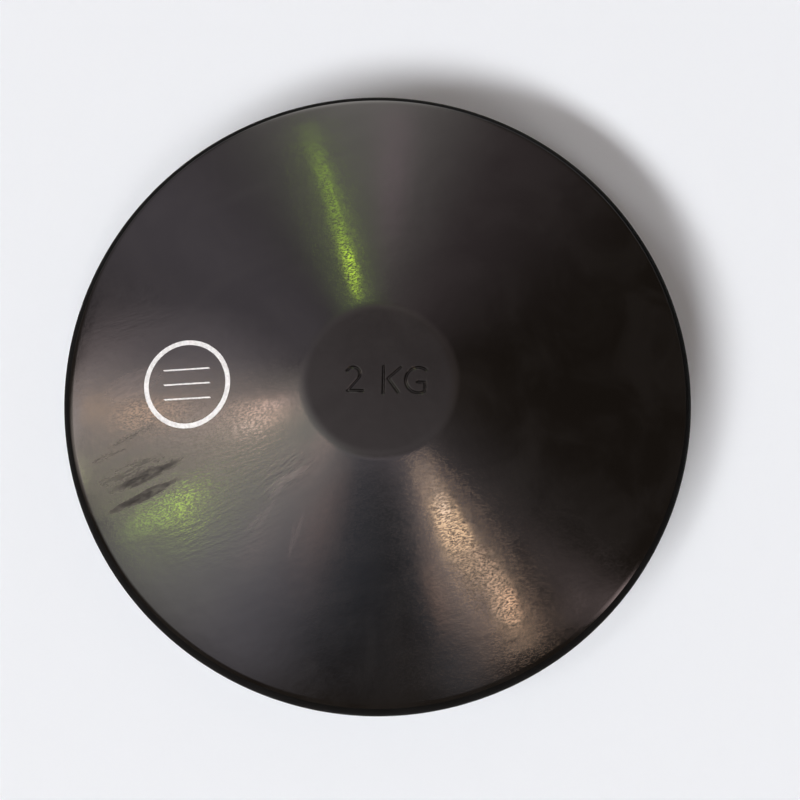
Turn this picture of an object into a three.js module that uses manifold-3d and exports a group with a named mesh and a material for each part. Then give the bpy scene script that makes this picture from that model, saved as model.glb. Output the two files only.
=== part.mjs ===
// A two kilogram training discus: two moulded rubber halves, cured round a keyed steel core ring.
// Millimetres, +Z up. The origin is the centre of the lower flat, the face that the discus rests on.

import * as THREE from "three";
import { mergeVertices } from "three/addons/utils/BufferGeometryUtils.js";
import Module from "manifold-3d";

const wasm = await Module();
wasm.setup();

// The body has a flat at the centre of each face, a straight side round it, and a rounded rim.
const discDiameter = 220;
const centreThickness = 45;
const flatDiameter = 50;
const flatEdgeRadius = 20;
const rimRadius = 6;

// The core is a flat ring of steel plate. It reaches outwards until this much rubber lies over its edge.
const coreThickness = 12;
const coreRingWidth = 33;
const coreEdgeChamfer = 1;
const rubberOverCoreEdge = 6;

// Rubber fills the holes of the core. Each plug of it is a key, which ties the two halves to the ring.
const keyHoleDiameter = 12;
const keyHoleChamfer = 1;
const keyHoleCount = 8;

// The rubber stays this far from the edges of the core. Flat faces touch.
const edgeClearance = 0.3;

// A cutter runs this far past the face that it cuts.
const cutOverrun = 1;

// Steps round the discus, round a key, and along the two arcs of the body's outline.
const discSteps = 96;
const keySteps = 24;
const rimArcSteps = 8;
const flatEdgeSteps = 6;

// Vertices closer than this are one vertex.
const mergeDistance = 0.0001;

// Heights
const partingHeight = centreThickness / 2;
const coreTopHeight = partingHeight + coreThickness / 2;
const coreBottomHeight = partingHeight - coreThickness / 2;

// The straight side leaves the edge of the flat and meets the rim's arc at a tangent.
const flatRadius = flatDiameter / 2;
const rimCentreRadius = discDiameter / 2 - rimRadius;
const sideReach = Math.hypot(rimCentreRadius - flatRadius, partingHeight);
const sideSlope =
  Math.atan2(partingHeight, rimCentreRadius - flatRadius) - Math.asin(rimRadius / sideReach);

// The core's outer edge lies where the side has come down to the rubber that must cover it.
const sideDrop = centreThickness - coreTopHeight - rubberOverCoreEdge;
const coreOuterRadius = flatRadius + sideDrop / Math.tan(sideSlope);
const coreInnerRadius = coreOuterRadius - coreRingWidth;
const keyCircleRadius = (coreOuterRadius + coreInnerRadius) / 2;

// Points along an arc, with both its ends.
function arcPoints(centreRadius, centreHeight, arcRadius, startAngle, endAngle, steps) {
  return Array.from({ length: steps + 1 }, (_, step) => {
    const angle = THREE.MathUtils.lerp(startAngle, endAngle, step / steps);
    const along = arcRadius * Math.cos(angle);
    const up = arcRadius * Math.sin(angle);
    return new THREE.Vector2(centreRadius + along, centreHeight + up);
  });
}

// A solid turned about +Z from an outline of points, which hold radius and height.
function turnedSolid(outline, steps) {
  const turned = new THREE.LatheGeometry(outline, steps).rotateX(Math.PI / 2);
  return solidFrom(turned);
}

// A closed geometry as a solid, with each vertex shared by the faces round it.
function solidFrom(geometry) {
  geometry.deleteAttribute("normal");
  geometry.deleteAttribute("uv");
  const merged = mergeVertices(geometry, mergeDistance);
  const surface = new wasm.Mesh({
    numProp: 3,
    vertProperties: merged.getAttribute("position").array,
    triVerts: new Uint32Array(merged.getIndex().array),
  });
  return new wasm.Manifold(surface);
}

// A solid as geometry, ready to be shown.
function geometryFrom(solid) {
  const { vertProperties, triVerts } = solid.getMesh();
  const geometry = new THREE.BufferGeometry();
  geometry.setAttribute("position", new THREE.BufferAttribute(vertProperties, 3));
  geometry.setIndex(new THREE.BufferAttribute(triVerts, 1));
  geometry.computeVertexNormals();
  return geometry;
}

// One half of the body before the core is let into it, from the parting plane up to the flat.
function blankHalf() {
  const upright = Math.PI / 2;
  const sideNormal = upright - sideSlope;
  const flatEdgeCentre = flatRadius - flatEdgeRadius * Math.tan(sideSlope / 2);
  const outline = [
    new THREE.Vector2(0, partingHeight),
    ...arcPoints(rimCentreRadius, partingHeight, rimRadius, 0, sideNormal, rimArcSteps),
    ...arcPoints(
      flatEdgeCentre,
      centreThickness - flatEdgeRadius,
      flatEdgeRadius,
      sideNormal,
      upright,
      flatEdgeSteps,
    ),
    new THREE.Vector2(0, centreThickness),
  ];
  return turnedSolid(outline, discSteps);
}

// A flat ring as thick as the core, chamfered on all four edges.
function ringSolid(outerRadius, innerRadius) {
  const outline = [
    new THREE.Vector2(innerRadius + coreEdgeChamfer, coreBottomHeight),
    new THREE.Vector2(outerRadius - coreEdgeChamfer, coreBottomHeight),
    new THREE.Vector2(outerRadius, coreBottomHeight + coreEdgeChamfer),
    new THREE.Vector2(outerRadius, coreTopHeight - coreEdgeChamfer),
    new THREE.Vector2(outerRadius - coreEdgeChamfer, coreTopHeight),
    new THREE.Vector2(innerRadius + coreEdgeChamfer, coreTopHeight),
    new THREE.Vector2(innerRadius, coreTopHeight - coreEdgeChamfer),
    new THREE.Vector2(innerRadius, coreBottomHeight + coreEdgeChamfer),
    new THREE.Vector2(innerRadius + coreEdgeChamfer, coreBottomHeight),
  ];
  return turnedSolid(outline, discSteps);
}

// A key that fills one chamfered hole, flared at both faces of the ring and running past them.
function keySolid(keyRadius) {
  const flaredRadius = keyRadius + keyHoleChamfer + cutOverrun;
  const outline = [
    new THREE.Vector2(0, coreBottomHeight - cutOverrun),
    new THREE.Vector2(flaredRadius, coreBottomHeight - cutOverrun),
    new THREE.Vector2(keyRadius, coreBottomHeight + keyHoleChamfer),
    new THREE.Vector2(keyRadius, coreTopHeight - keyHoleChamfer),
    new THREE.Vector2(flaredRadius, coreTopHeight + cutOverrun),
    new THREE.Vector2(0, coreTopHeight + cutOverrun),
  ];
  return turnedSolid(outline, keySteps);
}

// A ring with its circle of keys taken out of it.
function withoutKeys(ring, keyRadius) {
  const key = keySolid(keyRadius);
  let pierced = ring;
  for (let place = 0; place < keyHoleCount; place += 1) {
    const angle = (2 * Math.PI * place) / keyHoleCount;
    const x = keyCircleRadius * Math.cos(angle);
    const y = keyCircleRadius * Math.sin(angle);
    pierced = pierced.subtract(key.translate([x, y, 0]));
  }
  return pierced;
}

// The steel ring, with a circle of chamfered holes.
function coreSolid() {
  return withoutKeys(ringSolid(coreOuterRadius, coreInnerRadius), keyHoleDiameter / 2);
}

// A rubber half: the blank less the room that the core takes, so that its keys stand in the room.
function rubberHalfSolid() {
  const room = ringSolid(coreOuterRadius + edgeClearance, coreInnerRadius - edgeClearance);
  return blankHalf().subtract(withoutKeys(room, keyHoleDiameter / 2 - edgeClearance));
}

// A named mesh of the given geometry and finish.
function namedMesh(name, geometry, finish) {
  const mesh = new THREE.Mesh(geometry, new THREE.MeshStandardMaterial(finish));
  mesh.name = name;
  return mesh;
}

const blackRubber = { color: 0x2b2725, roughness: 0.5, metalness: 0 };
const plainSteel = { color: 0x8c8a86, roughness: 0.4, metalness: 1 };

const discus = new THREE.Group();
discus.name = "discus";

const halfGeometry = geometryFrom(rubberHalfSolid());
const upperHalf = namedMesh("upper_rubber_half", halfGeometry, blackRubber);

// The lower half is the same moulding, turned over about X so that the keys meet end to end.
const lowerHalf = namedMesh("lower_rubber_half", halfGeometry.clone(), blackRubber);
lowerHalf.rotation.x = Math.PI;
lowerHalf.position.z = centreThickness;

const coreRing = namedMesh("steel_core_ring", geometryFrom(coreSolid()), plainSteel);

discus.add(upperHalf, lowerHalf, coreRing);

export default discus;
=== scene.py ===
"""The looks of a two kilogram training discus: black moulded rubber over a steel core plate.

Lengths are in metres, in the row frame: the discus rests on its lower flat at z = 0 and +Z is its
axis of symmetry. Sizes in the classes are written in millimetres, times MM. Only the strokes of the
mass mark and the marks of use on the rubber are plain millimetres, times MM where they are drawn.
"""

import logging
import math
from dataclasses import dataclass
from enum import Enum

import bmesh
import bpy
import numpy as np
from mathutils import Matrix, Vector


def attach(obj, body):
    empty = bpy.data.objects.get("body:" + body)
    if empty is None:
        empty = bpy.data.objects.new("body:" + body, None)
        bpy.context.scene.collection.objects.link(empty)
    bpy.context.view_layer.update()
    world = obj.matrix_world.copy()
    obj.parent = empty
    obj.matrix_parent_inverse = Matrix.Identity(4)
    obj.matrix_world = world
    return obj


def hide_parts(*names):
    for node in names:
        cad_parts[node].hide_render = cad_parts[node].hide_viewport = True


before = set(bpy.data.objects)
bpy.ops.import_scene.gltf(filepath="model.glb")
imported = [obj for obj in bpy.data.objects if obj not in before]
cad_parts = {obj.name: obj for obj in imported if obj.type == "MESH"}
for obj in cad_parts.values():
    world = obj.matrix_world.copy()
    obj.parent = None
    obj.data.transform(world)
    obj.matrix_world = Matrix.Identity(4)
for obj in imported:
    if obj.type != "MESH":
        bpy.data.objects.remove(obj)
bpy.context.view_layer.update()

LOG = logging.getLogger("discus")

MM = 0.001
BODY = "root"

# Vertices closer than this are one vertex.
WELD = 0.002 * MM

Point = tuple[float, float]
Triple = tuple[float, float, float]
Colour = tuple[float, float, float]
Socket = bpy.types.NodeSocket
Value = bpy.types.NodeSocket | float

ORIGIN: Triple = (0.0, 0.0, 0.0)
PLAIN: Colour = (1.0, 1.0, 1.0)


def deselect_all() -> None:
    """Leaves no object selected."""
    bpy.ops.object.select_all(action="DESELECT")


def make_active(piece: bpy.types.Object) -> None:
    """Selects one object alone and makes it the active one.

    Args:
        piece: The object that the next operators work on.
    """
    deselect_all()
    piece.select_set(True)
    bpy.context.view_layer.objects.active = piece


def start_edit(piece: bpy.types.Object) -> None:
    """Enters edit mode on one object, in vertex mode, with nothing of its mesh selected.

    Args:
        piece: The object that is edited.
    """
    make_active(piece)
    bpy.ops.object.mode_set(mode="EDIT")
    bpy.ops.mesh.select_mode(type="VERT")
    bpy.ops.mesh.select_all(action="DESELECT")


def end_edit() -> None:
    """Goes back to object mode."""
    bpy.ops.object.mode_set(mode="OBJECT")


def close_up() -> None:
    """Welds the doubles of the mesh in edit mode, and turns its faces outwards."""
    bpy.ops.mesh.select_all(action="SELECT")
    bpy.ops.mesh.remove_doubles(threshold=WELD)
    bpy.ops.mesh.normals_make_consistent(inside=False)
    bpy.ops.mesh.select_all(action="DESELECT")


def arc(centre: Point, radii: Point, start: float, end: float, steps: int) -> list[Point]:
    """Points along an arc of a circle or an upright ellipse, both ends among them.

    Args:
        centre: Middle of the arc.
        radii: Half widths of the ellipse along its two axes.
        start: First angle, in degrees from the first axis.
        end: Last angle, in degrees.
        steps: How many straight steps the arc is drawn in.

    Returns:
        The points in order.
    """
    angles = [math.radians(start + (end - start) * step / steps) for step in range(steps + 1)]
    return [
        (centre[0] + radii[0] * math.cos(angle), centre[1] + radii[1] * math.sin(angle))
        for angle in angles
    ]


def ladder(start: Point, end: Point, steps: int) -> list[Point]:
    """Points evenly along a straight line, without its two ends.

    Args:
        start: Where the line begins.
        end: Where it ends.
        steps: How many steps it has.

    Returns:
        The points between, in order.
    """
    return [
        (
            start[0] + (end[0] - start[0]) * step / steps,
            start[1] + (end[1] - start[1]) * step / steps,
        )
        for step in range(1, steps)
    ]


def turn_outline(name: str, outline: list[Point], steps: int, closed: bool) -> bpy.types.Object:
    """Draws an outline by extruding one vertex along it, and spins it once round +Z.

    Args:
        name: Name of the new object.
        outline: Radius and height of each point, in order.
        steps: Steps of the spin.
        closed: Whether the last point is joined to the first.

    Returns:
        The turned solid, with its faces outwards.
    """
    deselect_all()
    bpy.ops.mesh.primitive_plane_add(size=MM)
    piece = bpy.context.active_object
    piece.name = name
    piece.data.name = name
    bpy.ops.object.mode_set(mode="EDIT")
    bpy.ops.mesh.merge(type="CENTER")
    bpy.ops.transform.translate(value=(outline[0][0], 0.0, outline[0][1]))
    path = outline[1:] + outline[:1] if closed else outline[1:]
    here = outline[0]
    for point in path:
        move = (point[0] - here[0], 0.0, point[1] - here[1])
        bpy.ops.mesh.extrude_vertices_move(TRANSFORM_OT_translate={"value": move})
        here = point
    bpy.ops.mesh.select_all(action="SELECT")
    bpy.ops.mesh.spin(steps=steps, angle=math.tau, center=(0, 0, 0), axis=(0, 0, 1))
    close_up()
    end_edit()
    return piece


def add_panel(size: Point, cells: tuple[int, int], place: Triple, turn: float) -> None:
    """Adds a flat grid to the mesh in edit mode, and leaves it selected.

    Args:
        size: Its length and its width.
        cells: How many cells it has along each.
        place: Its middle.
        turn: How far it is turned about +Z, in degrees.
    """
    angle = math.radians(turn)
    bpy.ops.mesh.primitive_grid_add(
        x_subdivisions=cells[0],
        y_subdivisions=cells[1],
        size=1.0,
        location=place,
        rotation=(0.0, 0.0, angle),
    )
    bpy.ops.transform.resize(
        value=(*size, 1.0),
        orient_matrix=Matrix.Rotation(angle, 3, "Z"),
        orient_type="GLOBAL",
        center_override=place,
    )


def apply_modifier(piece: bpy.types.Object, kind: str, **settings: object) -> None:
    """Adds a modifier to an object, sets it up and applies it.

    Args:
        piece: The object that it changes.
        kind: The modifier's type, as Blender names it.
        **settings: Properties of the modifier and their values.
    """
    make_active(piece)
    bpy.ops.object.modifier_add(type=kind)
    modifier = piece.modifiers[-1]
    for name, value in settings.items():
        setattr(modifier, name, value)
    bpy.ops.object.modifier_apply(modifier=modifier.name)


def cut_away(piece: bpy.types.Object, cutter: bpy.types.Object) -> None:
    """Takes one closed solid out of another, and removes the cutter."""
    apply_modifier(piece, "BOOLEAN", operation="DIFFERENCE", solver="EXACT", object=cutter)
    bpy.data.objects.remove(cutter)


def smooth(piece: bpy.types.Object, angle: float) -> None:
    """Shades an object smooth, apart from edges sharper than an angle in degrees."""
    make_active(piece)
    bpy.ops.object.shade_smooth_by_angle(angle=math.radians(angle))


def dress(piece: bpy.types.Object, finish: bpy.types.Material) -> None:
    """Gives an object one material in place of what it has."""
    piece.data.materials.clear()
    piece.data.materials.append(finish)


@dataclass(frozen=True)
class BodyForm:
    """The sizes of the discus, by the names that the part's source gives them."""

    disc_radius: float = 110 * MM
    thickness: float = 45 * MM
    flat_radius: float = 25 * MM
    flat_edge_radius: float = 20 * MM
    rim_radius: float = 6 * MM
    core_thickness: float = 12 * MM
    core_ring_width: float = 33 * MM
    core_edge_chamfer: float = 1 * MM
    rubber_over_core_edge: float = 6 * MM
    key_hole_radius: float = 6 * MM
    key_hole_chamfer: float = 1 * MM
    key_hole_count: int = 8
    edge_clearance: float = 0.3 * MM

    @property
    def parting_height(self) -> float:
        """Height of the plane where the two halves of the mould met."""
        return self.thickness / 2

    @property
    def rim_centre_radius(self) -> float:
        """Radius of the circle that the rim's arc is centred on."""
        return self.disc_radius - self.rim_radius

    @property
    def side_slope(self) -> float:
        """Finds how steep the straight side is.

        Returns:
            Its angle to the ground, in radians.
        """
        run = self.rim_centre_radius - self.flat_radius
        reach = math.hypot(run, self.parting_height)
        return math.atan2(self.parting_height, run) - math.asin(self.rim_radius / reach)

    @property
    def core_top(self) -> float:
        """Height of the core plate's upper face."""
        return self.parting_height + self.core_thickness / 2

    @property
    def core_bottom(self) -> float:
        """Height of the core plate's lower face."""
        return self.parting_height - self.core_thickness / 2

    @property
    def core_outer_radius(self) -> float:
        """Radius of the core plate, where the side has come down to the rubber over its edge."""
        drop = self.thickness - self.core_top - self.rubber_over_core_edge
        return self.flat_radius + drop / math.tan(self.side_slope)

    @property
    def core_inner_radius(self) -> float:
        """Radius of the opening in the core plate."""
        return self.core_outer_radius - self.core_ring_width

    @property
    def key_circle_radius(self) -> float:
        """Radius of the circle that the key holes are centred on."""
        return (self.core_outer_radius + self.core_inner_radius) / 2


class Slope(Enum):
    """How a ramp goes from its beginning to its end."""

    SMOOTH = "SMOOTHSTEP"
    STRAIGHT = "LINEAR"


@dataclass(frozen=True)
class NodeWire:
    """Adds nodes to one node tree and joins them."""

    tree: bpy.types.NodeTree

    # Where a Mix node takes its two colours, and where it puts out the mixed one.
    MIX_FIRST = 6
    MIX_SECOND = 7
    MIX_OUTPUT = 2

    # What a Noise texture gives on average.
    NOISE_MEAN = 0.5

    def join(self, source: Socket, node: bpy.types.Node, socket: str | int) -> None:
        """Joins an output socket to a named or numbered input of a node."""
        self.tree.links.new(source, node.inputs[socket])

    def feed(self, node: bpy.types.Node, values: dict[str | int, object]) -> None:
        """Gives a node's inputs their values, joined where they are sockets and set where plain.

        Args:
            node: The node.
            values: What each named or numbered input gets. An underscore stands for a space.
        """
        for name, value in values.items():
            socket = name.replace("_", " ") if isinstance(name, str) else name
            if isinstance(value, Socket):
                self.join(value, node, socket)
            else:
                node.inputs[socket].default_value = value

    def add(
        self, kind: str, values: dict[str | int, object] | None = None, **settings: object
    ) -> bpy.types.Node:
        """Adds a node.

        Args:
            kind: The node's type, as Blender names it.
            values: What its inputs get.
            **settings: Properties of the node and their values.

        Returns:
            The new node.
        """
        node = self.tree.nodes.new(kind)
        for name, value in settings.items():
            setattr(node, name, value)
        self.feed(node, values or {})
        return node

    def group(self, tree: bpy.types.NodeTree, **values: object) -> bpy.types.Node:
        """Places a node group and gives its inputs their values."""
        return self.add("ShaderNodeGroup", values, node_tree=tree)

    def math(self, operation: str, first: Value, second: Value = 0.0) -> Socket:
        """Works on two numbers, each a socket or plain."""
        return self.add("ShaderNodeMath", {0: first, 1: second}, operation=operation).outputs[0]

    def vector(self, operation: str, first: Socket, second: Socket | Triple) -> Socket:
        """Works on two vectors, the second a socket or plain."""
        node = self.add("ShaderNodeVectorMath", {0: first, 1: second}, operation=operation)
        return node.outputs[0]

    def rotated(self, place: Socket, turn: Socket) -> Socket:
        """Turns a place about the origin by three angles."""
        inputs = {"Vector": place, "Rotation": turn}
        return self.add("ShaderNodeVectorRotate", inputs, rotation_type="EULER_XYZ").outputs[0]

    def split(self, vector: Socket) -> bpy.types.Node:
        """Adds a node that splits a vector into X, Y and Z."""
        return self.add("ShaderNodeSeparateXYZ", {0: vector})

    def total(self, *values: Value) -> Value:
        """Adds values up, each a socket or plain.

        Args:
            *values: The values.

        Returns:
            The sum.
        """
        result = values[0]
        for value in values[1:]:
            result = self.math("ADD", result, value)
        return result

    def ramp(
        self, value: Socket, span: Point, result: Point = (0.0, 1.0), slope: Slope = Slope.SMOOTH
    ) -> Socket:
        """Maps a value from one span to another.

        Args:
            value: The value to map.
            span: Where the span begins and ends.
            result: What comes out at its beginning and at its end.
            slope: How it goes between them.

        Returns:
            The mapped value.
        """
        ends = {"From Min": span[0], "From Max": span[1], "To Min": result[0], "To Max": result[1]}
        settings = {"interpolation_type": slope.value}
        return self.add("ShaderNodeMapRange", {"Value": value} | ends, **settings).outputs["Result"]

    def noise(
        self, place: Socket, scale: Value, detail: float, rough: float, warp: Value = 0.0
    ) -> Socket:
        """Adds a Noise texture.

        Args:
            place: The place on the surface.
            scale: How many features there are in a metre.
            detail: How many finer layers lie over the first.
            rough: How strong each finer layer is.
            warp: How far the pattern is pulled about.

        Returns:
            Its value.
        """
        inputs = {"Vector": place, "Scale": scale, "Detail": detail}
        inputs |= {"Roughness": rough, "Distortion": warp}
        return self.add("ShaderNodeTexNoise", inputs).outputs[0]

    def height(self, noise: Socket, depth: Value) -> Socket:
        """Turns a noise's value into a height in metres, level on average."""
        return self.math("MULTIPLY", self.math("SUBTRACT", noise, self.NOISE_MEAN), depth)

    def mix(self, factor: Socket, first: Colour | Socket, second: Colour) -> Socket:
        """Mixes two colours.

        Args:
            factor: How much of the second one there is.
            first: The first colour, a socket or three numbers.
            second: The second one.

        Returns:
            The mixed colour.
        """
        start = first if isinstance(first, Socket) else (*first, 1.0)
        inputs = {"Factor": factor, self.MIX_FIRST: start, self.MIX_SECOND: (*second, 1.0)}
        return self.add("ShaderNodeMix", inputs, data_type="RGBA").outputs[self.MIX_OUTPUT]


@dataclass(frozen=True)
class CorePlate:
    """The steel core: a flat ring with chamfered edges and a circle of chamfered key holes."""

    form: BodyForm
    disc_steps: int = 180
    key_steps: int = 48
    overrun: float = 1 * MM
    edge_break: float = 0.15 * MM
    edge_break_steps: int = 2
    crease_angle: float = 30.0

    def ring_outline(self, clearance: float) -> list[Point]:
        """The ring's cross section.

        Args:
            clearance: How far the outline stands off the plate's own edges.

        Returns:
            Radius and height of each corner, round the section.
        """
        form = self.form
        inner = form.core_inner_radius - clearance
        outer = form.core_outer_radius + clearance
        chamfer = form.core_edge_chamfer
        return [
            (inner + chamfer, form.core_bottom),
            (outer - chamfer, form.core_bottom),
            (outer, form.core_bottom + chamfer),
            (outer, form.core_top - chamfer),
            (outer - chamfer, form.core_top),
            (inner + chamfer, form.core_top),
            (inner, form.core_top - chamfer),
            (inner, form.core_bottom + chamfer),
        ]

    def key_outline(self, clearance: float) -> list[Point]:
        """The outline of what fills one hole, flared at both faces and running past them.

        Args:
            clearance: How far it stands off the wall of the hole.

        Returns:
            Radius and height of each point, from the bottom up.
        """
        form = self.form
        radius = form.key_hole_radius - clearance
        flared = radius + form.key_hole_chamfer + self.overrun
        return [
            (0.0, form.core_bottom - self.overrun),
            (flared, form.core_bottom - self.overrun),
            (radius, form.core_bottom + form.key_hole_chamfer),
            (radius, form.core_top - form.key_hole_chamfer),
            (flared, form.core_top + self.overrun),
            (0.0, form.core_top + self.overrun),
        ]

    def key_circle(self, clearance: float) -> bpy.types.Object:
        """Turns one key, sets it on the key circle and copies it round by a spin of copies.

        Args:
            clearance: How far the keys stand off the walls of the holes.

        Returns:
            All the keys as one object.
        """
        outline = self.key_outline(clearance)
        keys = turn_outline("key_circle", outline, self.key_steps, closed=False)
        count = self.form.key_hole_count
        start_edit(keys)
        bpy.ops.mesh.select_all(action="SELECT")
        bpy.ops.transform.translate(value=(self.form.key_circle_radius, 0.0, 0.0))
        bpy.ops.mesh.spin(
            steps=count - 1,
            dupli=True,
            angle=math.tau * (count - 1) / count,
            center=(0, 0, 0),
            axis=(0, 0, 1),
        )
        end_edit()
        return keys

    def pierced_ring(self, name: str, clearance: float) -> bpy.types.Object:
        """A ring with its circle of holes.

        Args:
            name: Name of the new object.
            clearance: How far it stands off the plate's edges. The room in the rubber has some.

        Returns:
            The ring, closed and with its faces outwards.
        """
        outline = self.ring_outline(clearance)
        ring = turn_outline(name, outline, self.disc_steps, closed=True)
        cut_away(ring, self.key_circle(clearance))
        return ring

    def room(self) -> bpy.types.Object:
        """The room that the plate takes in the rubber, keys left standing in it."""
        return self.pierced_ring("core_room", self.form.edge_clearance)

    def build(self, finish: bpy.types.Material) -> bpy.types.Object:
        """Builds the plate with its sharp edges broken, and rides it in place of the CAD ring.

        Args:
            finish: The steel.

        Returns:
            The plate.
        """
        plate = self.pierced_ring("core_plate", 0.0)
        apply_modifier(
            plate,
            "BEVEL",
            width=self.edge_break,
            segments=self.edge_break_steps,
            limit_method="ANGLE",
            angle_limit=math.radians(self.crease_angle),
        )
        smooth(plate, self.crease_angle)
        dress(plate, finish)
        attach(plate, BODY)
        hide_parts("steel_core_ring")
        return plate


@dataclass(frozen=True)
class MassMark:
    """The mass, sunk in the upper flat as rounded grooves."""

    turn: float = -2.2
    centre: Point = (2.3 * MM, -0.3 * MM)
    panel_size: Point = (31 * MM, 12.5 * MM)
    pitch: float = 0.1 * MM
    groove_half_width: float = 0.6 * MM
    groove_depth: float = 0.6 * MM

    # Share of the half width over which the floor of a groove is level.
    level_floor: float = 0.1

    def strokes(self) -> list[list[Point]]:
        """Lays out the strokes of a figure two and the letters K and G.

        Returns:
            Each stroke as a chain of points in plain millimetres.
        """
        two = arc((-8.6, 1.75), (2.25, 2.25), 150, -38, 14) + [(-10.3, -3.8), (-5.3, -3.8)]
        stem = [(1.3, -4.5), (1.4, 4.4)]
        arms = [(6.95, 4.15), (2.85, 0.45), (6.2, -4.15)]
        bow = arc((12.9, -0.05), (4.25, 4.25), 55, 290, 24)
        jaw = [(15.0, -3.5), (15.0, -0.65), (12.55, -0.65)]
        return [two, stem, arms, bow + jaw]

    def depth_at(self, places: np.ndarray) -> np.ndarray:
        """How deep the grooves are at given places.

        Args:
            places: One row of x and y for each place, in metres.

        Returns:
            One depth in metres for each place.
        """
        angle = math.radians(-self.turn)
        turned = np.array([[math.cos(angle), -math.sin(angle)], [math.sin(angle), math.cos(angle)]])
        upright = places @ turned.T
        nearest = np.full(len(places), np.inf)
        for stroke in self.strokes():
            chain = np.array(stroke) * MM
            for start, end in zip(chain[:-1], chain[1:]):
                along = end - start
                share = (upright - start) @ along / (along @ along)
                foot = start + np.clip(share, 0.0, 1.0)[:, None] * along
                nearest = np.minimum(nearest, np.hypot(*(upright - foot).T))
        reach = np.clip(nearest / self.groove_half_width, 0.0, 1.0)
        fall = np.clip((reach - self.level_floor) / (1 - self.level_floor), 0.0, 1.0)
        return self.groove_depth * (1 - fall * fall * (3 - 2 * fall))


@dataclass(frozen=True)
class RubberHalf:
    """One moulded half of the body, with its share of the parting ridge round the rim."""

    form: BodyForm
    core: CorePlate
    side_finish: bpy.types.Material
    rim_finish: bpy.types.Material
    steps: int = 360
    side_steps: int = 14
    rim_steps: int = 24
    flat_edge_steps: int = 12
    crease_angle: float = 35.0

    # The marked panel is let into a circle of the flat, whose faces lie this near its height.
    panel_circle: float = 22 * MM
    flat_tolerance: float = 0.01 * MM

    # The matt rim begins where its arc faces this many degrees above the ground.
    rim_band_angle: float = 64.0

    # The ridge, and its form from its foot to the parting plane in shares of its two sizes.
    ridge_half_height: float = 0.26 * MM
    ridge_stand: float = 0.1 * MM
    ridge_form: tuple[Point, ...] = (
        (0.0, 1.0),
        (0.3, 0.8),
        (0.8, 0.55),
        (1.0, 0.3),
        (0.9, 0.1),
        (0.6, 0.0),
    )

    def ridge_outline(self) -> list[Point]:
        """Outlines the upper half of the thin ridge that the mould leaves where its halves meet.

        Returns:
            Its points, as radius and height, from the rim outwards and down.
        """
        form = self.form
        foot = form.disc_radius - self.ridge_stand
        return [
            (foot + out * self.ridge_stand, form.parting_height + up * self.ridge_half_height)
            for out, up in self.ridge_form
        ]

    def outline(self) -> list[Point]:
        """Outlines the half: over the flat, down the side and rim, and back in to the axis.

        Returns:
            Its points, as radius and height.
        """
        form = self.form
        slope = math.degrees(form.side_slope)
        edge_centre = form.flat_radius - form.flat_edge_radius * math.tan(form.side_slope / 2)
        flat_edge = arc(
            (edge_centre, form.thickness - form.flat_edge_radius),
            (form.flat_edge_radius, form.flat_edge_radius),
            90,
            90 - slope,
            self.flat_edge_steps,
        )
        ridge = self.ridge_outline()
        ridge_foot = math.degrees(math.asin(self.ridge_half_height / form.rim_radius))
        rim = arc(
            (form.rim_centre_radius, form.parting_height),
            (form.rim_radius - self.ridge_stand, form.rim_radius),
            90 - slope,
            ridge_foot,
            self.rim_steps,
        )
        side = ladder(flat_edge[-1], rim[0], self.side_steps)
        centre = [(0.0, form.thickness), (self.panel_circle, form.thickness)]
        return centre + flat_edge + side + rim + ridge[1:] + [(0.0, form.parting_height)]

    def blank(self, name: str) -> bpy.types.Object:
        """Turns the half and clears the keyed room of the core plate out of it.

        Args:
            name: Name of the new object.

        Returns:
            The half, with a plain flat.
        """
        half = turn_outline(name, self.outline(), self.steps, closed=False)
        cut_away(half, self.core.room())
        return half

    def open_flat(self, half: bpy.types.Object) -> None:
        """Deletes the faces of the flat inside the circle that the marked panel is let into.

        Args:
            half: The half whose flat is opened.
        """
        start_edit(half)
        bpy.ops.mesh.select_mode(type="FACE")
        mesh = bmesh.from_edit_mesh(half.data)
        for face in mesh.faces:
            middle = face.calc_center_median()
            on_top = middle.z > self.form.thickness - self.flat_tolerance
            face.select = on_top and middle.xy.length < self.panel_circle
        bmesh.update_edit_mesh(half.data)
        bpy.ops.mesh.delete(type="FACE")
        end_edit()

    def sink_mark(self, half: bpy.types.Object, mark: MassMark) -> None:
        """Fills the opened flat with a fine grid, sinks the mark in it and joins it all round.

        Args:
            half: The half whose flat is open.
            mark: The mark and the panel that it takes.
        """
        start_edit(half)
        cells = (round(mark.panel_size[0] / mark.pitch), round(mark.panel_size[1] / mark.pitch))
        add_panel(mark.panel_size, cells, (*mark.centre, self.form.thickness), mark.turn)
        mesh = bmesh.from_edit_mesh(half.data)
        panel = [vertex for vertex in mesh.verts if vertex.select]
        depths = mark.depth_at(np.array([vertex.co[:2] for vertex in panel]))
        for vertex, depth in zip(panel, depths):
            vertex.co.z -= depth
        bmesh.update_edit_mesh(half.data)
        bpy.ops.mesh.select_all(action="DESELECT")
        bpy.ops.mesh.select_non_manifold()
        bpy.ops.mesh.fill()
        close_up()
        end_edit()

    def dress_rim(self, half: bpy.types.Object) -> None:
        """Gives the rounded rim its own matt finish.

        Args:
            half: The half, which has the finish of its side all over.
        """
        form = self.form
        reach = form.rim_radius * math.cos(math.radians(self.rim_band_angle))
        half.data.materials.append(self.rim_finish)
        for face in half.data.polygons:
            if face.center.xy.length > form.rim_centre_radius + reach:
                face.material_index = 1

    def settle(self, half: bpy.types.Object, node: str) -> None:
        """Shades and dresses a finished half and rides it in place of its CAD node.

        Args:
            half: The half.
            node: The node that it stands for.
        """
        smooth(half, self.crease_angle)
        dress(half, self.side_finish)
        self.dress_rim(half)
        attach(half, BODY)
        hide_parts(node)

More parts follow.
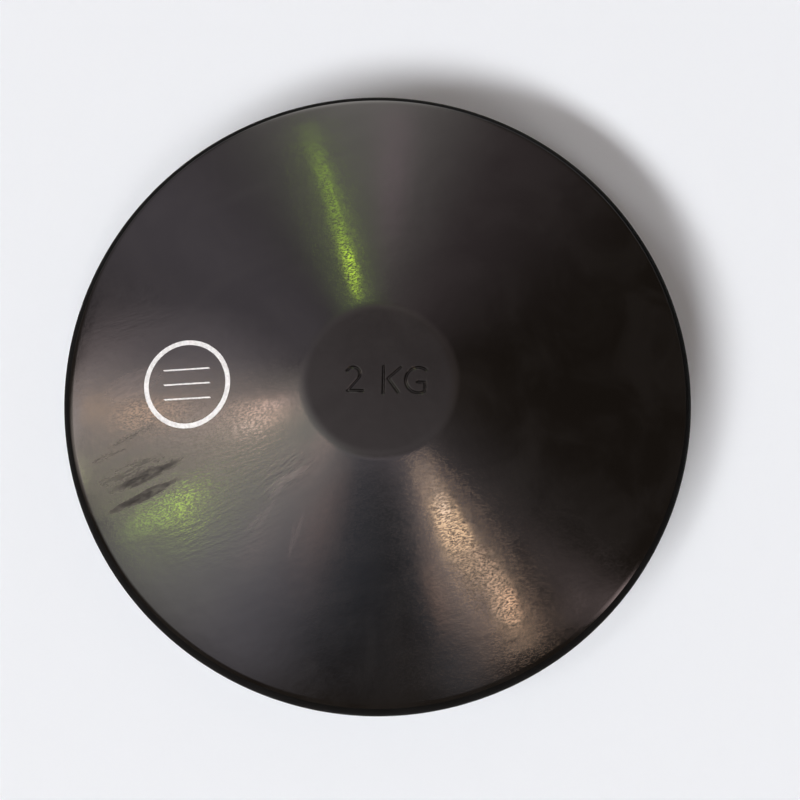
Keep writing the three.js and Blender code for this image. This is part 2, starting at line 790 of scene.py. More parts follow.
    def build_upper(self, mark: MassMark) -> bpy.types.Object:
        """Builds the upper half.

        Args:
            mark: The mass that is sunk in its flat.

        Returns:
            The upper half.
        """
        half = self.blank("upper_moulding")
        self.open_flat(half)
        self.sink_mark(half, mark)
        self.settle(half, "upper_rubber_half")
        return half

    def build_lower(self) -> bpy.types.Object:
        """Builds the lower half, which is the same moulding without the mark, turned over.

        Returns:
            The lower half.
        """
        half = self.blank("lower_moulding")
        start_edit(half)
        bpy.ops.mesh.select_all(action="SELECT")
        bpy.ops.transform.rotate(
            value=math.pi,
            orient_axis="X",
            center_override=(0.0, 0.0, self.form.parting_height),
        )
        close_up()
        end_edit()
        self.settle(half, "lower_rubber_half")
        return half


@dataclass(frozen=True)
class OwnerField:
    """The round printed field for an owner's name: a plain white ring and three ruled lines."""

    centre: Point = (-64.64 * MM, 1.48 * MM)
    outer_radius: float = 15.02 * MM
    inner_radius: float = 13.4 * MM
    ring_steps: int = 192
    ring_bands: int = 4
    rule_length: float = 16 * MM
    rule_width: float = 0.5 * MM
    rule_cells: tuple[int, int] = (32, 2)
    rule_gap: float = 5 * MM
    rule_count: int = 3
    turn: float = 2.0
    ink_thickness: float = 0.03 * MM
    crease_angle: float = 35.0

    # Height that the print is drawn at, above the discus, before it is laid on the side.
    drop_height: float = 50 * MM

    def add_ring(self) -> None:
        """Draws the ring as a circle extruded inwards, band by band."""
        place = (*self.centre, self.drop_height)
        bpy.ops.mesh.primitive_circle_add(
            vertices=self.ring_steps, radius=self.outer_radius, location=place
        )
        radius = self.outer_radius
        for band in range(1, self.ring_bands + 1):
            inwards = (self.inner_radius - self.outer_radius) * band / self.ring_bands
            scale = (self.outer_radius + inwards) / radius
            bpy.ops.mesh.extrude_edges_move()
            bpy.ops.transform.resize(value=(scale, scale, 1.0), center_override=place)
            radius = self.outer_radius + inwards

    def add_rule(self, offset: float) -> None:
        """Draws one ruled line.

        Args:
            offset: How far it lies from the middle of the field.
        """
        angle = math.radians(self.turn)
        x = self.centre[0] - offset * math.sin(angle)
        y = self.centre[1] + offset * math.cos(angle)
        size = (self.rule_length, self.rule_width)
        add_panel(size, self.rule_cells, (x, y, self.drop_height), self.turn)

    def draw(self) -> bpy.types.Object:
        """Draws the print flat, above the discus.

        Returns:
            The ring and the ruled lines, as one flat object.
        """
        deselect_all()
        bpy.ops.mesh.primitive_circle_add(radius=self.outer_radius)
        film = bpy.context.active_object
        film.name = "owner_field_print"
        film.data.name = film.name
        start_edit(film)
        bpy.ops.mesh.select_all(action="SELECT")
        bpy.ops.mesh.delete(type="VERT")
        self.add_ring()
        middle = (self.rule_count - 1) / 2
        for place in range(self.rule_count):
            self.add_rule((place - middle) * self.rule_gap)
        end_edit()
        return film

    def build(self, carrier: bpy.types.Object, finish: bpy.types.Material) -> bpy.types.Object:
        """Draws the print, lays it on the moulding that carries it and gives it ink's body.

        Args:
            carrier: The moulding under the print.
            finish: The ink.

        Returns:
            The print, as a thin closed film on the side.
        """
        film = self.draw()
        apply_modifier(
            film,
            "SHRINKWRAP",
            target=carrier,
            wrap_method="PROJECT",
            use_project_z=True,
            use_negative_direction=True,
            use_positive_direction=False,
        )
        start_edit(film)
        bpy.ops.mesh.select_all(action="SELECT")
        bpy.ops.mesh.normals_make_consistent(inside=False)
        end_edit()
        apply_modifier(film, "SOLIDIFY", thickness=self.ink_thickness, offset=1.0)
        smooth(film, self.crease_angle)
        dress(film, finish)
        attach(film, BODY)
        return film


class EffectGroup:
    """A shader node group in the making: its tree, what wires it, and its two ends."""

    def __init__(self, name: str, outputs: tuple[str, ...], **inputs: float | Triple) -> None:
        """Makes the empty group.

        Args:
            name: Its name.
            outputs: The names of what it puts out, each a number.
            **inputs: Its inputs with their defaults. An underscore stands for a space.
        """
        self.tree = bpy.data.node_groups.new(name, "ShaderNodeTree")
        for label, default in inputs.items():
            kind = "NodeSocketFloat" if isinstance(default, float) else "NodeSocketVector"
            socket = self.tree.interface.new_socket(
                label.replace("_", " "), in_out="INPUT", socket_type=kind
            )
            socket.default_value = default
        for label in outputs:
            self.tree.interface.new_socket(label, in_out="OUTPUT", socket_type="NodeSocketFloat")
        self.wire = NodeWire(self.tree)
        self.source = self.wire.add("NodeGroupInput")
        self.sink = self.wire.add("NodeGroupOutput")

    def given(self, name: str) -> Socket:
        """What the group is given under a name."""
        return self.source.outputs[name]

    def put_out(self, **values: Socket) -> None:
        """Joins what the group puts out, each under its name."""
        self.wire.feed(self.sink, values)


class SurfaceEffects:
    """The node groups that several finishes share, each built once."""

    # Where in the range of its noise each mask begins and where it is full.
    FLECK_SPAN = (0.42, 0.68)
    PIT_SPAN = (0.50, 0.60)
    BLOTCH_SPAN = (0.35, 0.66)
    LINE_SPAN = (0.3, 0.7)

    # How fine the lines in a rubbed patch are, and how strong it still is between them.
    LINE_STRETCH = (55.0, 850.0, 850.0)
    BETWEEN_LINES = 0.4

    def __init__(self) -> None:
        """Builds the groups."""
        self.grain = self.make_grain()
        self.brushing = self.make_brushing()
        self.blotches = self.make_blotches()
        self.scuff = self.make_scuff()

    def make_grain(self) -> bpy.types.NodeTree:
        """Makes fine pebbled grain: a height in metres.

        Returns:
            The group.
        """
        group = EffectGroup("fine_grain", ("Height",), Place=ORIGIN, Scale=1300.0, Depth=0.03 * MM)
        wire = group.wire
        noise = wire.noise(group.given("Place"), group.given("Scale"), detail=1.0, rough=0.5)
        group.put_out(Height=wire.height(noise, group.given("Depth")))
        return group.tree

    def make_brushing(self) -> bpy.types.NodeTree:
        """Makes long thin marks that run one way: a height in metres, a mask, and where pits are.

        Returns:
            The group.
        """
        group = EffectGroup(
            "brushing",
            ("Height", "Mask", "Pits"),
            Place=ORIGIN,
            Turn=ORIGIN,
            Stretch=(80.0, 1200.0, 1200.0),
            Depth=0.02 * MM,
        )
        wire = group.wire
        turned = wire.rotated(group.given("Place"), group.given("Turn"))
        stretched = wire.vector("MULTIPLY", turned, group.given("Stretch"))
        noise = wire.noise(stretched, 1.0, detail=3.0, rough=0.6)
        group.put_out(
            Height=wire.height(noise, group.given("Depth")),
            Mask=wire.ramp(noise, self.FLECK_SPAN),
            Pits=wire.ramp(noise, self.PIT_SPAN),
        )
        return group.tree

    def make_blotches(self) -> bpy.types.NodeTree:
        """Makes cloudy patches with soft edges, as a mask from 0 to 1.

        Returns:
            The group.
        """
        group = EffectGroup("blotches", ("Mask",), Place=ORIGIN, Scale=60.0, Warp=0.6)
        place, scale, warp = (group.given(name) for name in ("Place", "Scale", "Warp"))
        noise = group.wire.noise(place, scale, detail=4.0, rough=0.6, warp=warp)
        group.put_out(Mask=group.wire.ramp(noise, self.BLOTCH_SPAN))
        return group.tree

    def make_scuff(self) -> bpy.types.NodeTree:
        """Makes one rubbed patch with faded edges, plain and drawn in fine lines: two masks.

        Returns:
            The group.
        """
        group = EffectGroup(
            "scuff",
            ("Mask", "Patch"),
            Place=ORIGIN,
            Centre=ORIGIN,
            Turn=ORIGIN,
            Half_Length=8 * MM,
            Half_Width=1 * MM,
            Strength=1.0,
        )
        wire = group.wire
        offset = wire.vector("SUBTRACT", group.given("Place"), group.given("Centre"))
        turned = wire.rotated(offset, group.given("Turn"))
        parts = wire.split(turned)
        along = wire.math("DIVIDE", parts.outputs["X"], group.given("Half Length"))
        across = wire.math("DIVIDE", parts.outputs["Y"], group.given("Half Width"))
        square = wire.total(*(wire.math("MULTIPLY", side, side) for side in (along, across)))
        faded = wire.ramp(square, (0.0, 1.0), (1.0, 0.0))
        stretched = wire.vector("MULTIPLY", turned, self.LINE_STRETCH)
        lines = wire.noise(stretched, 1.0, detail=3.0, rough=0.65)
        drawn = wire.ramp(lines, self.LINE_SPAN, (self.BETWEEN_LINES, 1.0))
        patch = wire.math("MULTIPLY", faded, group.given("Strength"))
        group.put_out(Patch=patch, Mask=wire.math("MULTIPLY", patch, drawn))
        return group.tree


class FinishDraft:
    """A material in the making: what wires it, and its Principled shader."""

    def __init__(self, name: str) -> None:
        """Makes the plain material.

        Args:
            name: Its name.
        """
        self.material = bpy.data.materials.new(name)
        self.material.use_nodes = True
        self.wire = NodeWire(self.material.node_tree)
        self.shader = self.material.node_tree.nodes["Principled BSDF"]

    def place(self) -> Socket:
        """The place on the surface, in the piece's own coordinates."""
        return self.wire.add("ShaderNodeTexCoord").outputs["Object"]

    def shade(self, **values: object) -> None:
        """Gives the shader's inputs their values, joined where they vary and set where plain."""
        self.wire.feed(self.shader, values)

    def raise_by(self, height: Socket) -> None:
        """Bends the shader's normal as a relief would.

        Args:
            height: The relief's height in metres.
        """
        bump = self.wire.add("ShaderNodeBump")
        self.wire.feed(bump, {"Strength": 1.0, "Distance": 1.0, "Height": height})
        self.shade(Normal=bump.outputs[0])


class Rubbing(Enum):
    """What shows of a rubbed patch, as the scuff group names it."""

    ALL = "Patch"
    LINES = "Mask"


@dataclass(frozen=True)
class ScuffMark:
    """Where one dash or patch lies, seen from above, in millimetres and degrees."""

    x: float
    y: float
    turn: float
    half_length: float
    half_width: float
    strength: float = 1.0


@dataclass(frozen=True)
class MouldedRubber:
    """Black rubber from a polished mould: glossy, finely grained, wiped and scuffed in places."""

    effects: SurfaceEffects
    dark: Colour = (0.0030, 0.0023, 0.0019)
    bloomed: Colour = (0.0076, 0.0065, 0.0060)
    # Pale pinkish colour of thin dashes: dust, and a painted sheen of reflected light.
    dust_and_sheen_colour: Colour = (0.120, 0.092, 0.086)
    bloom_scale: float = 38.0
    bloom_warp: float = 0.8
    gloss_roughness: float = 0.055
    bloom_roughness: float = 0.02
    wiped_roughness: float = 0.02
    fleck_roughness: float = 0.06
    scuffed_roughness: float = 0.6
    grain_scale: float = 3000.0
    grain_depth: float = 0.002 * MM
    ripple_scale: float = 330.0
    ripple_depth: float = 0.012 * MM
    wave_scale: float = 48.0
    wave_depth: float = 0.04 * MM
    brush_turn: float = 16.0
    brush_stretch: Triple = (950.0, 2500.0, 2500.0)
    brush_depth: float = 0.0036 * MM
    wipe_stretch: Triple = (28.0, 130.0, 130.0)
    wipe_depth: float = 0.022 * MM
    pit_depth: float = 0.003 * MM
    worn_pit_depth: float = 0.0082 * MM
    line_depth: float = 0.034 * MM

    # Matt dashes.
    scuffs: tuple[ScuffMark, ...] = (
        ScuffMark(-79.2, -28.9, 21.8, 18, 2.6),
        ScuffMark(-84.0, -27.4, 20.5, 20, 5.5, 0.5),
        ScuffMark(-79.9, -35.5, 23.2, 18, 2.2),
        ScuffMark(-91.0, -37.0, 20.0, 15, 6.0, 0.3),
        ScuffMark(-84.4, -15.5, 24.0, 13, 1.5, 0.45),
        ScuffMark(-92.0, -21.5, 22.0, 13, 1.8, 0.42),
    )

    # Patches where the pits are deeper.
    worn: tuple[ScuffMark, ...] = (
        ScuffMark(31.0, -58.5, -62.0, 43, 12),
        ScuffMark(-17.0, 55.0, 110.0, 42, 10),
        ScuffMark(-66.0, -22.0, 16.0, 44, 36, 0.8),
    )

    # Patches that stand up in fine lines.
    wiped: tuple[ScuffMark, ...] = (
        ScuffMark(-46.0, -27.0, 20.0, 25, 15, 0.9),
        ScuffMark(-70.0, -24.0, 18.0, 38, 26, 0.4),
        ScuffMark(-32.0, -29.0, 38.0, 17, 8, 1.6),
        ScuffMark(-52.0, -46.0, 24.0, 30, 16, 0.7),
        ScuffMark(-84.0, 24.0, 12.0, 24, 9, 0.35),
    )

    # Thin pale dashes in the base colour: dust, and a painted sheen of reflected light.
    dust_and_sheen_dashes: tuple[ScuffMark, ...] = (
        ScuffMark(-31.0, -31.5, 28.0, 10, 1.5, 0.45),
        ScuffMark(-34.0, -35.0, 42.0, 5, 1.1, 0.4),
        ScuffMark(-27.5, -48.0, 70.0, 8, 1.0, 0.22),
        ScuffMark(-29.8, -51.5, 79.0, 7, 0.9, 0.2),
        ScuffMark(-38.0, -42.5, 54.0, 8, 1.0, 0.2),
        ScuffMark(-42.0, -45.0, 45.0, 6, 0.9, 0.18),
        ScuffMark(-84.0, 2.0, 22.0, 14, 6.0, 0.35),
    )

    def rubbed_mask(
        self, wire: NodeWire, place: Socket, marks: tuple[ScuffMark, ...], rubbing: Rubbing
    ) -> Value:
        """Several marks as one mask.

        Args:
            wire: What wires the material's nodes.
            place: The place on the surface.
            marks: The marks.
            rubbing: What shows of them.

        Returns:
            The mask.
        """
        mask: Value = 0.0
        for mark in marks:
            node = wire.group(
                self.effects.scuff,
                Place=place,
                Centre=(mark.x * MM, mark.y * MM, 0.0),
                Turn=(0.0, 0.0, math.radians(-mark.turn)),
                Half_Length=mark.half_length * MM,
                Half_Width=mark.half_width * MM,
                Strength=mark.strength,
            )
            mask = wire.math("MAXIMUM", mask, node.outputs[rubbing.value])
        return mask

    def relief(
        self, wire: NodeWire, place: Socket, brushing: bpy.types.Node, wiping: bpy.types.Node
    ) -> Socket:
        """The surface's height: brushing, wiping, pits, fine lines, grain, ripples and waves.

        Args:
            wire: What wires the material's nodes.
            place: The place on the surface.
            brushing: The fine marks.
            wiping: The broad ones.

        Returns:
            The height in metres.
        """
        worn = self.rubbed_mask(wire, place, self.worn, Rubbing.ALL)
        pit_depth = wire.total(wire.math("MULTIPLY", worn, self.worn_pit_depth), self.pit_depth)
        pits = wire.math("MULTIPLY", brushing.outputs["Pits"], pit_depth)
        rubbed = wire.total(brushing.outputs["Height"], wiping.outputs["Height"])
        lines = self.rubbed_mask(wire, place, self.wiped, Rubbing.LINES)
        grain = wire.group(
            self.effects.grain, Place=place, Scale=self.grain_scale, Depth=self.grain_depth
        )
        ripples = wire.noise(place, self.ripple_scale, detail=1.0, rough=0.4)
        waves = wire.noise(place, self.wave_scale, detail=1.0, rough=0.4)
        return wire.total(
            wire.math("SUBTRACT", rubbed, pits),
            wire.math("MULTIPLY", lines, self.line_depth),
            grain.outputs["Height"],
            wire.height(ripples, self.ripple_depth),
            wire.height(waves, self.wave_depth),
        )

    def material(self) -> bpy.types.Material:
        """Builds the rubber's material.

        Returns:
            The material.
        """
        draft = FinishDraft("moulded_rubber")
        wire = draft.wire
        place = draft.place()
        brush = {"Place": place, "Turn": (0.0, 0.0, math.radians(-self.brush_turn))}
        brushing = wire.group(
            self.effects.brushing, Stretch=self.brush_stretch, Depth=self.brush_depth, **brush
        )
        wiping = wire.group(
            self.effects.brushing, Stretch=self.wipe_stretch, Depth=self.wipe_depth, **brush
        )
        bloom = wire.group(
            self.effects.blotches, Place=place, Scale=self.bloom_scale, Warp=self.bloom_warp
        )
        colour = wire.mix(bloom.outputs["Mask"], self.dark, self.bloomed)
        # Pale dashes mixed into the base colour: dust, and a painted sheen of reflected light.
        dust_and_sheen_mask = self.rubbed_mask(wire, place, self.dust_and_sheen_dashes, Rubbing.LINES)
        scuffed = self.rubbed_mask(wire, place, self.scuffs, Rubbing.LINES)
        roughness = wire.total(
            self.gloss_roughness,
            wire.math("MULTIPLY", bloom.outputs["Mask"], self.bloom_roughness),
            wire.math("MULTIPLY", wiping.outputs["Mask"], self.wiped_roughness),
            wire.math("MULTIPLY", brushing.outputs["Mask"], self.fleck_roughness),
            wire.math("MULTIPLY", scuffed, self.scuffed_roughness),
        )
        draft.shade(Base_Color=wire.mix(dust_and_sheen_mask, colour, self.dust_and_sheen_colour), Roughness=roughness)
        draft.raise_by(self.relief(wire, place, brushing, wiping))
        return draft.material


@dataclass(frozen=True)
class PatchyFinish:
    """A finish in two tones that lie in cloudy patches, over a fine relief.

    The roughness goes from the first tone's to the second's, or is one number all over.
    """

    effects: SurfaceEffects
    name: str
    tones: tuple[Colour, Colour]
    patch_scale: float
    patch_warp: float
    roughness: Point | float
    specular: float = 0.5
    metallic: float = 0.0
    grain_scale: float = 1300.0
    grain_depth: float = 0.02 * MM

    def relief(self, wire: NodeWire, place: Socket) -> bpy.types.Node:
        """Places the group that gives the height: fine grain, unless a kind has another."""
        grain = {"Scale": self.grain_scale, "Depth": self.grain_depth}
        return wire.group(self.effects.grain, Place=place, **grain)

    def material(self) -> bpy.types.Material:
        """Builds the material.

        Returns:
            The material.
        """
        draft = FinishDraft(self.name)
        wire = draft.wire
        place = draft.place()
        blotches = self.effects.blotches
        patches = wire.group(blotches, Place=place, Scale=self.patch_scale, Warp=self.patch_warp)
        mask = patches.outputs["Mask"]
        roughness = self.roughness
        if isinstance(roughness, tuple):
            roughness = wire.ramp(mask, (0.0, 1.0), roughness, Slope.STRAIGHT)
        draft.shade(Base_Color=wire.mix(mask, *self.tones), Roughness=roughness)
        draft.shade(Specular_IOR_Level=self.specular, Metallic=self.metallic)
        draft.raise_by(self.relief(wire, place).outputs["Height"])
        return draft.material


@dataclass(frozen=True)
class MattRubber(PatchyFinish):
    """The rubber round the rim, which hands and ground have rubbed matt."""

    name: str = "rim_rubber"
    tones: tuple[Colour, Colour] = ((0.0046, 0.0042, 0.0040), (0.0062, 0.0057, 0.0054))
    patch_scale: float = 90.0
    patch_warp: float = 0.5
    roughness: Point | float = 0.5
    specular: float = 0.01


@dataclass(frozen=True)
class PrintInk(PatchyFinish):
    """White pad-printed ink: matt, a little uneven over the rubber's grain."""

    name: str = "print_ink"
    tones: tuple[Colour, Colour] = ((0.82, 0.82, 0.83), (0.66, 0.65, 0.66))
    patch_scale: float = 900.0
    patch_warp: float = 0.2
    roughness: Point | float = (0.38, 0.55)
    grain_scale: float = 1350.0
    grain_depth: float = 0.015 * MM


@dataclass(frozen=True)
class CorePlateSteel(PatchyFinish):
    """Hot rolled plate, sawn and brushed, with darker scale left in patches."""

    name: str = "core_plate_steel"
    tones: tuple[Colour, Colour] = ((0.42, 0.41, 0.40), (0.17, 0.165, 0.17))
    patch_scale: float = 45.0
    patch_warp: float = 1.2
    roughness: Point | float = (0.33, 0.56)
    metallic: float = 1.0
    brush_stretch: Triple = (60.0, 2200.0, 2200.0)
    brush_depth: float = 0.02 * MM

    def relief(self, wire: NodeWire, place: Socket) -> bpy.types.Node:
        """Places the group that gives the height: the marks of brushing, all one way."""
        brush = {"Stretch": self.brush_stretch, "Depth": self.brush_depth}
        return wire.group(self.effects.brushing, Place=place, **brush)


class Fade(Enum):
    """How a softbox fades towards its edge, as the share of its half size that fades."""

    CRISP = 0.35
    SOFT = 0.75
    FEATHERED = 1.0


class Role(Enum):
    """What a softbox is there for."""

    LIGHT = "it lights the floor and the discus and throws the shadow"
    GLOSS = "it shows in the gloss of the discus"


@dataclass(frozen=True)
class Softbox:
    """A soft lamp far off, given by the direction that it is seen in from the discus.

    Angles are in degrees: azimuth goes round from +X towards +Y, zenith down from overhead.
    """

    name: str
    azimuth: float
    zenith: float
    half_width: float
    half_height: float
    radiance: float
    colour: Colour
    fade: Fade = Fade.FEATHERED
    roll: float = 0.0
    role: Role = Role.GLOSS
    distance: float = 30.0

    def facing(self) -> Matrix:
        """The lamp's rotation: its back points away from the discus, its width goes round.

        Returns:
            The rotation.
        """
        azimuth = math.radians(self.azimuth)
        zenith = math.radians(self.zenith)
        around = Vector((-math.sin(azimuth), math.cos(azimuth), 0.0))
        away = Vector(
            (
                math.sin(zenith) * math.cos(azimuth),
                math.sin(zenith) * math.sin(azimuth),
                math.cos(zenith),
            )
        )
        rise = away.cross(around)
        upright = Matrix((around, rise, away)).transposed()
        return upright @ Matrix.Rotation(math.radians(self.roll), 3, "Z")

    def feather(self, light: bpy.types.Light) -> None:
        """Fades the lamp towards its edges, by where on its face the light leaves it.

        Args:
            light: The lamp's data.
        """
        light.use_nodes = True
        wire = NodeWire(light.node_tree)
        parts = wire.split(wire.add("ShaderNodeNewGeometry").outputs["Parametric"])
        strength: Value = 1.0
        for axis in ("X", "Y"):
            centred = wire.math("SUBTRACT", parts.outputs[axis], 0.5)
            reach = wire.math("MULTIPLY", wire.math("ABSOLUTE", centred), 2.0)
            share = wire.ramp(reach, (1.0 - self.fade.value, 1.0), (1.0, 0.0))
            strength = wire.math("MULTIPLY", strength, share)
        wire.join(strength, light.node_tree.nodes["Emission"], "Strength")

    def light_up(self) -> None:
        """Adds the lamp, which is seen either in the gloss or by what is matt, as its role says."""
        deselect_all()
        turned = self.facing()
        bpy.ops.object.light_add(type="AREA", location=turned.col[2] * self.distance)
        lamp = bpy.context.active_object
        lamp.name = self.name
        lamp.rotation_euler = turned.to_euler()
        lamp.data.shape = "RECTANGLE"
        lamp.data.size = 2 * self.distance * math.tan(math.radians(self.half_width))
        lamp.data.size_y = 2 * self.distance * math.tan(math.radians(self.half_height))
        lamp.data.color = self.colour
        lamp.data.energy = math.pi * self.radiance * lamp.data.size * lamp.data.size_y
        lamp.visible_diffuse = self.role is Role.LIGHT
        lamp.visible_glossy = self.role is Role.GLOSS
        lamp.visible_camera = False
        self.feather(lamp.data)


@dataclass(frozen=True)
class Studio:
    """The plain studio: a pale floor, pale surroundings low down, and softboxes far off."""

    floor_colour: Colour = (0.883, 0.915, 0.969)
    wall_colour: Colour = (0.855, 0.863, 0.896)
    ceiling_colour: Colour = (0.125, 0.094, 0.072)
    floor_size: float = 120.0
    floor_drop: float = 0.05 * MM

    # Degrees above the horizon between which the wall fades to the ceiling.
    wall_top: float = 9.0
    ceiling_start: float = 17.0

    softboxes: tuple[Softbox, ...] = (
        Softbox("key_strip", 229, 52, 21, 5, 37.6, PLAIN, Fade.CRISP, role=Role.LIGHT),
        Softbox("left_fill", 182, 38, 8, 8, 7.8, PLAIN, Fade.CRISP, role=Role.LIGHT),
        Softbox("near_fill", 280, 45, 8, 8, 7.8, PLAIN, Fade.CRISP, role=Role.LIGHT),
        Softbox("left_bright", 174.4, 44.1, 11.7, 35.4, 3.70, (1.0, 0.88, 0.8), roll=15),
        Softbox("left_inner", 174.5, 30.1, 5.5, 2.4, 8.65, (1.0, 0.64, 0.49), Fade.SOFT, roll=19),
        Softbox("left_outer", 170.2, 44.7, 18.5, 3.4, 2.53, (1.0, 0.82, 0.83), Fade.SOFT, roll=-13),
        Softbox("left_wide", 185.1, 30.8, 9.6, 12.9, 2.78, (1.0, 0.84, 0.65)),
        Softbox("left_low", 198.5, 28.9, 17.2, 28.6, 3.07, (1.0, 0.98, 0.93)),
        Softbox("left_fade", 226.8, 31.8, 16, 13.4, 1.52, (0.93, 0.88, 1.0)),
        Softbox("upper_left", 158.9, 37.6, 15.3, 6.7, 1.88, (1.0, 0.88, 0.95)),
        Softbox("upper", 131.3, 45.7, 25.5, 40, 0.95, (0.95, 0.86, 1.0)),
        Softbox("top_edge", 93.6, 70, 23.3, 40, 2.94, (1.0, 0.96, 0.91)),
        Softbox("upper_right", 72.1, 39.4, 25.1, 36.4, 0.44, (1.0, 0.81, 0.91)),
        Softbox("green_strip", 99.5, 40.9, 2, 2.1, 14.38, (0.68, 1.0, 0.04), Fade.SOFT, roll=39),
        Softbox("green_line", 99.7, 44.1, 1.5, 6.3, 5.98, (0.58, 1.0, 0.0), Fade.SOFT, roll=10),
        Softbox("green_haze", 99.3, 37.3, 10.7, 14.8, 1.02, (0.67, 1.0, 0.35)),
        Softbox("green_patch", 193.3, 35, 2.3, 2.9, 7.59, (0.59, 1.0, 0.07), Fade.SOFT, roll=25),
        Softbox("green_tint", 200, 32.8, 4.6, 3.6, 1.68, (0.72, 1.0, 0.2)),
        Softbox("warm_core", 305.4, 24.5, 3.5, 2.1, 16.09, (1.0, 0.66, 0.37), Fade.CRISP, roll=-10),
        Softbox("warm_low", 308.1, 29.9, 2, 3.2, 8.83, (1.0, 0.65, 0.41), Fade.CRISP, roll=-35),
        Softbox("warm_side", 289.5, 27.6, 7, 14.9, 0.68, (0.79, 0.84, 1.0)),
        Softbox("warm_glow", 303.9, 26.4, 8.4, 9.7, 5.08, (1.0, 0.74, 0.64)),
        Softbox("right_blob", 319.7, 34.6, 4.2, 1.6, 0.79, (1.0, 0.74, 0.7), Fade.SOFT),
        Softbox("right_glint", 325.2, 66, 6.8, 40, 4.25, (1.0, 0.77, 0.76)),
        Softbox("overhead", 58, 0, 40, 19.8, 0.90, (1.0, 0.89, 0.94)),
        Softbox("lower", 250.4, 23, 18.6, 13.3, 0.53, (0.62, 0.76, 1.0)),
        Softbox("pink_blob", 234.2, 23.5, 7.9, 5.9, 1.50, (1.0, 0.65, 0.53)),
        Softbox("low_band", 267.5, 14.4, 28.1, 7.7, 0.98, (1.0, 0.87, 0.97)),
        Softbox("north_inner", 91.6, 25.4, 18.2, 15.1, 0.53, (1.0, 0.9, 0.83)),
        Softbox("east_inner", 28.8, 20.6, 18.7, 14.8, 0.29, (1.0, 0.82, 0.77)),
        Softbox("south_band", 300.5, 17.1, 11.4, 0.9, 0.75, (1.0, 0.67, 0.72)),
        Softbox("left_streak", 207.6, 21.4, 5.9, 6.3, 1.72, (1.0, 0.59, 0.48), Fade.SOFT, roll=38),
        Softbox("warm_tip", 308.7, 30.9, 2.1, 1, 15.15, (1.0, 0.59, 0.36), Fade.SOFT, roll=17),
        Softbox("left_warm", 169.7, 38, 3.4, 2.8, 7.08, (1.0, 0.57, 0.3), Fade.SOFT, roll=-2),
        Softbox("inner_b", 170.9, 29.6, 1.2, 0.9, 12.13, (1.0, 0.69, 0.64), Fade.SOFT),
        Softbox("inner_a", 178, 30.6, 1.4, 0.9, 7.02, (1.0, 0.86, 0.81), Fade.SOFT, roll=2),
        Softbox("warm_white", 306.6, 23.3, 1.8, 0.9, 10.27, (1.0, 0.79, 0.69), Fade.SOFT, roll=-1),
        Softbox("warm_mid", 303.6, 27.3, 2.4, 0.9, 7.42, (1.0, 0.64, 0.32), Fade.SOFT, roll=-10),
        Softbox("left_mid", 172.8, 33.6, 6, 4.6, 3.58, (1.0, 0.74, 0.62), roll=2),
        Softbox("left_rim", 181.4, 43.4, 3.3, 3.1, 5.85, (0.97, 1.0, 0.51), roll=-2),
        Softbox("green_dot", 195.6, 33.4, 3, 1.5, 6.23, (0.68, 1.0, 0.0), Fade.SOFT, roll=2),
        Softbox("warm_foot", 289.1, 27.1, 2.1, 2.7, 2.22, (1.0, 0.56, 0.36), Fade.SOFT, roll=5),
        Softbox("left_end", 168.5, 41.6, 3.1, 2.1, 3.45, (1.0, 0.57, 0.25), roll=-3),
        Softbox("warm_head", 307.5, 21.8, 4.3, 1.6, 3.18, (1.0, 0.76, 0.52), roll=2),
        Softbox("top_pink", 86.3, 46.9, 4.2, 7.9, 0.74, (1.0, 0.55, 0.77), roll=-4),
        Softbox("pink_low", 217.7, 28.3, 3.8, 2.3, 1.06, (1.0, 0.55, 0.44), roll=-1),
    )

    def lay_floor(self) -> None:
        """Lays a wide pale floor, which is seen through from below."""
        deselect_all()
        place = (0.0, 0.0, -self.floor_drop)
        bpy.ops.mesh.primitive_plane_add(size=self.floor_size, location=place)
        floor = bpy.context.active_object
        floor.name = "studio_floor"
        draft = FinishDraft("studio_floor")
        draft.shade(Base_Color=(*self.floor_colour, 1.0), Roughness=1.0, Specular_IOR_Level=0.0)
        wire = draft.wire
        clear = wire.add("ShaderNodeBsdfTransparent")
        side = wire.add("ShaderNodeNewGeometry")
        sides = {0: side.outputs["Backfacing"], 1: draft.shader.outputs[0], 2: clear.outputs[0]}
        choice = wire.add("ShaderNodeMixShader", sides)
        wire.join(choice.outputs[0], wire.tree.nodes["Material Output"], "Surface")
        dress(floor, draft.material)

    def light_world(self) -> None:
        """Lights the surroundings: pale low down all round, fading to a dim ceiling."""
        world = bpy.data.worlds.new("studio")
        bpy.context.scene.world = world
        world.use_nodes = True
        wire = NodeWire(world.node_tree)
        parts = wire.split(wire.add("ShaderNodeTexCoord").outputs["Generated"])
        span = (math.sin(math.radians(self.wall_top)), math.sin(math.radians(self.ceiling_start)))
        rise = wire.ramp(parts.outputs["Z"], span)
        colour = wire.mix(rise, self.wall_colour, self.ceiling_colour)
        wire.join(colour, world.node_tree.nodes["Background"], "Color")

    def set_up(self) -> None:
        """Sets up the floor, the surroundings and every lamp."""
        self.lay_floor()
        self.light_world()
        for softbox in self.softboxes:
            softbox.light_up()


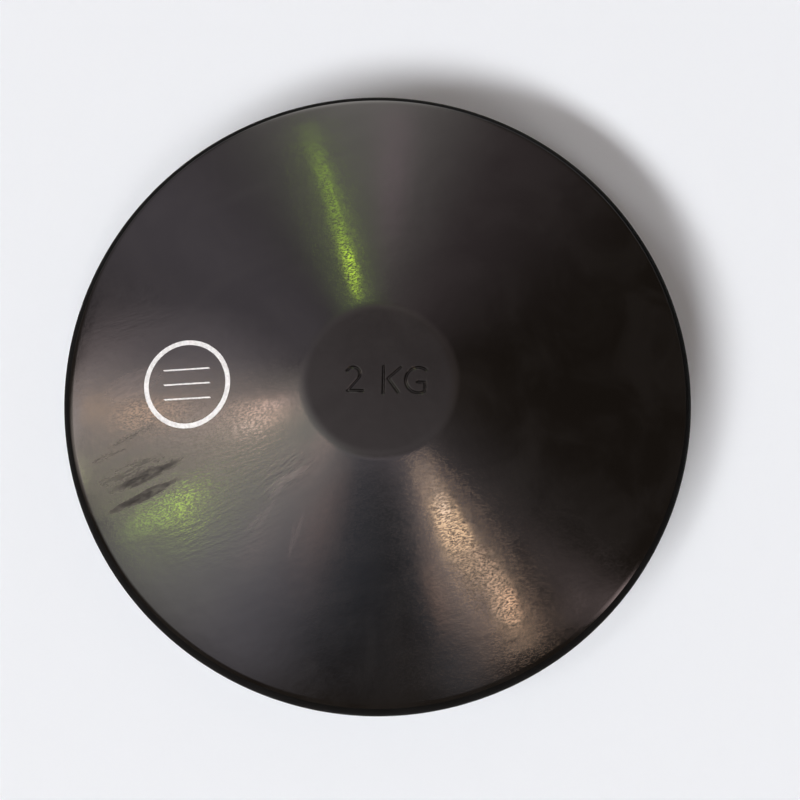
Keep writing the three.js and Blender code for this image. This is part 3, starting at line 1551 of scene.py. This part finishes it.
@dataclass(frozen=True)
class Viewpoint:
    """The photograph's camera: above the discus, leaning back a little. Angles are in degrees."""

    distance: float = 321.56 * MM
    lean: float = 9.780
    roll: float = -1.341
    pan: float = -1.267
    tilt: float = -0.598
    lens: float = 41.05
    sensor: float = 36.0
    nearest: float = 10 * MM
    farthest: float = 200.0

    def back(self) -> Vector:
        """The direction from the discus to the camera."""
        lean = math.radians(self.lean)
        return Vector((0.0, -math.sin(lean), math.cos(lean)))

    def aim(self) -> Matrix:
        """The camera's rotation: on the discus, and then panned, tilted and rolled.

        Returns:
            The rotation.
        """
        back = self.back()
        right = Vector((1.0, 0.0, 0.0))
        turned = Matrix((right, back.cross(right), back)).transposed()
        for angle, axis in ((self.pan, "Y"), (self.tilt, "X"), (self.roll, "Z")):
            turned = turned @ Matrix.Rotation(math.radians(angle), 3, axis)
        return turned

    def stand(self, centre_height: float) -> None:
        """Places the scene's camera over a centre at a height on the axis.

        Args:
            centre_height: Height of the point that the distance is measured from.
        """
        deselect_all()
        place = self.back() * self.distance + Vector((0.0, 0.0, centre_height))
        bpy.ops.object.camera_add(location=place)
        camera = bpy.context.active_object
        camera.name = "photograph_view"
        camera.rotation_euler = self.aim().to_euler()
        camera.data.lens = self.lens
        camera.data.sensor_width = self.sensor
        camera.data.clip_start = self.nearest
        camera.data.clip_end = self.farthest
        bpy.context.scene.camera = camera


def report(piece: bpy.types.Object) -> None:
    """Logs a piece's name and how many triangles it has."""
    piece.data.calc_loop_triangles()
    LOG.info("%s: %d triangles", piece.name, len(piece.data.loop_triangles))


def main() -> None:
    """Builds the camera and the studio, then the core, the two halves and the print."""
    logging.basicConfig(level=logging.INFO, format="%(name)s: %(message)s")
    form = BodyForm()
    Viewpoint().stand(form.parting_height)
    Studio().set_up()
    bpy.context.scene.view_settings.view_transform = "Standard"

    effects = SurfaceEffects()
    rubber = MouldedRubber(effects).material()
    core = CorePlate(form)
    half = RubberHalf(form, core, rubber, MattRubber(effects).material())
    report(core.build(CorePlateSteel(effects).material()))
    upper = half.build_upper(MassMark())
    report(upper)
    report(half.build_lower())
    report(OwnerField().build(upper, PrintInk(effects).material()))

    # The CAD nodes are all replaced, and get the rubber so that none is bare.
    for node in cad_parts.values():
        dress(node, rubber)


if __name__ == "__main__":
    main()
